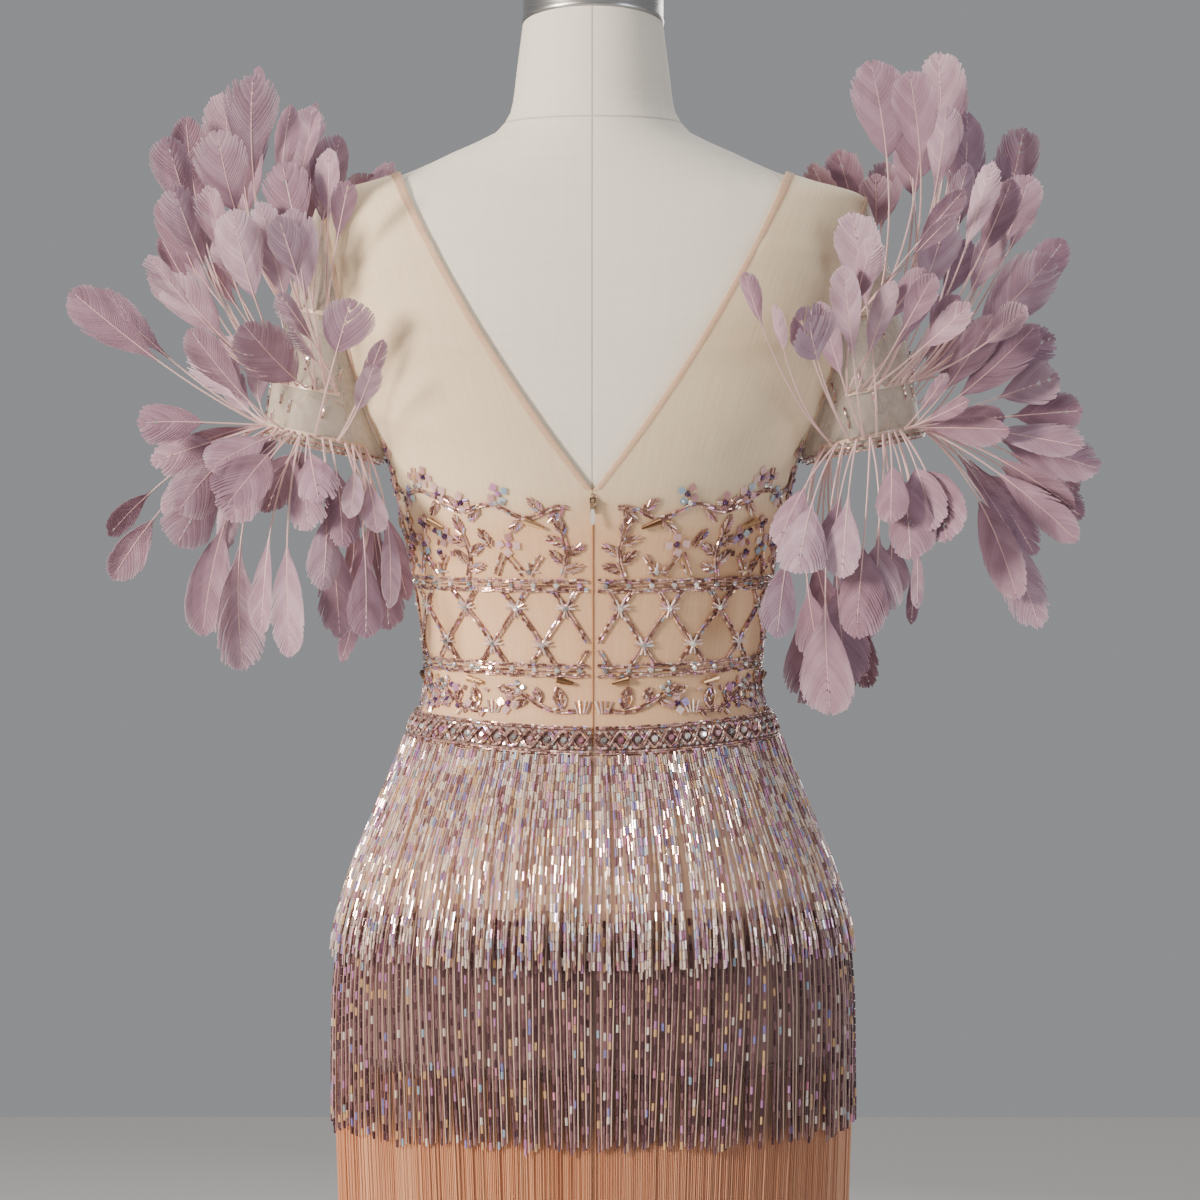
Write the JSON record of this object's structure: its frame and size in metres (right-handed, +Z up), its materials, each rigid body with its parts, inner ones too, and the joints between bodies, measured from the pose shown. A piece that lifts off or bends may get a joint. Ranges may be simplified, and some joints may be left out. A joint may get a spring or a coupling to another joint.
{
  "type": "cocktail dress on a limbless dress form",
  "caption": "Cocktail dress with a deep V back, feathered cap sleeves, a beaded bodice and a tiered fringe skirt, on a limbless dress form with a pole stand.",
  "frame": {"origin": "on the floor, at the centre of the underside of the stand's foot", "axes": "+Z up, +X towards the wearer's left, -Y the way the front of the dress faces"},
  "size_m": [0.7385, 0.36, 1.5505],
  "materials": {
    "linen": "plain linen weave",
    "steel": "brushed",
    "nude_tulle": "sheer tulle",
    "doubled_tulle": "sheer tulle, doubled",
    "nude_lining": "matt lining",
    "organza": "crisp translucent organza",
    "bead_edge": "glass beads and crystals",
    "bead_band": "glass beads and crystals",
    "bugle_fringe_light": "iridescent bugle beads",
    "bugle_fringe_dark": "dark bugle beads",
    "thread_fringe": "soft thread",
    "zip_tape": "woven tape",
    "zip_metal": "polished",
    "pull_tab": "satin",
    "feather": "stripped feathers, dusty mauve"
  },
  "bodies": {
    "dress": {"armhole_binding_back_left": "doubled_tulle", "armhole_binding_back_right": "doubled_tulle", "armhole_binding_front_left": "doubled_tulle", "armhole_binding_front_right": "doubled_tulle", "bodice_back_left": "nude_tulle", "bodice_back_right": "nude_tulle", "bodice_front": "nude_tulle", "cuff_trim_left": "bead_edge", "cuff_trim_right": "bead_edge", "feather_row_lower_left": "feather", "feather_row_lower_right": "feather", "feather_row_middle_left": "feather", "feather_row_middle_right": "feather", "feather_row_upper_left": "feather", "feather_row_upper_right": "feather", "form_neck_cap": "steel", "form_torso": "linen", "fringe_lower": "thread_fringe", "fringe_middle": "bugle_fringe_dark", "fringe_upper": "bugle_fringe_light", "neck_binding_back_left": "doubled_tulle", "neck_binding_back_right": "doubled_tulle", "neck_binding_front_left": "doubled_tulle", "neck_binding_front_right": "doubled_tulle", "skirt_back_left": "nude_lining", "skirt_back_right": "nude_lining", "skirt_front": "nude_lining", "sleeve_left": "organza", "sleeve_right": "organza", "stand_base": "steel", "stand_pole": "steel", "waist_band": "bead_band", "zip_slider": "zip_metal", "zip_tape_left": "zip_tape", "zip_tape_right": "zip_tape"},
    "pull_tab": {"zip_pull_tab": "pull_tab"}
  },
  "joints": [
    {"name": "pull_tab_hinge", "type": "hinge", "parent": "dress", "child": "pull_tab", "pos_m": [0, 0.10894, 1.17132], "axis": [1, 0, 0], "range_deg": [0, 140]}
  ]
}
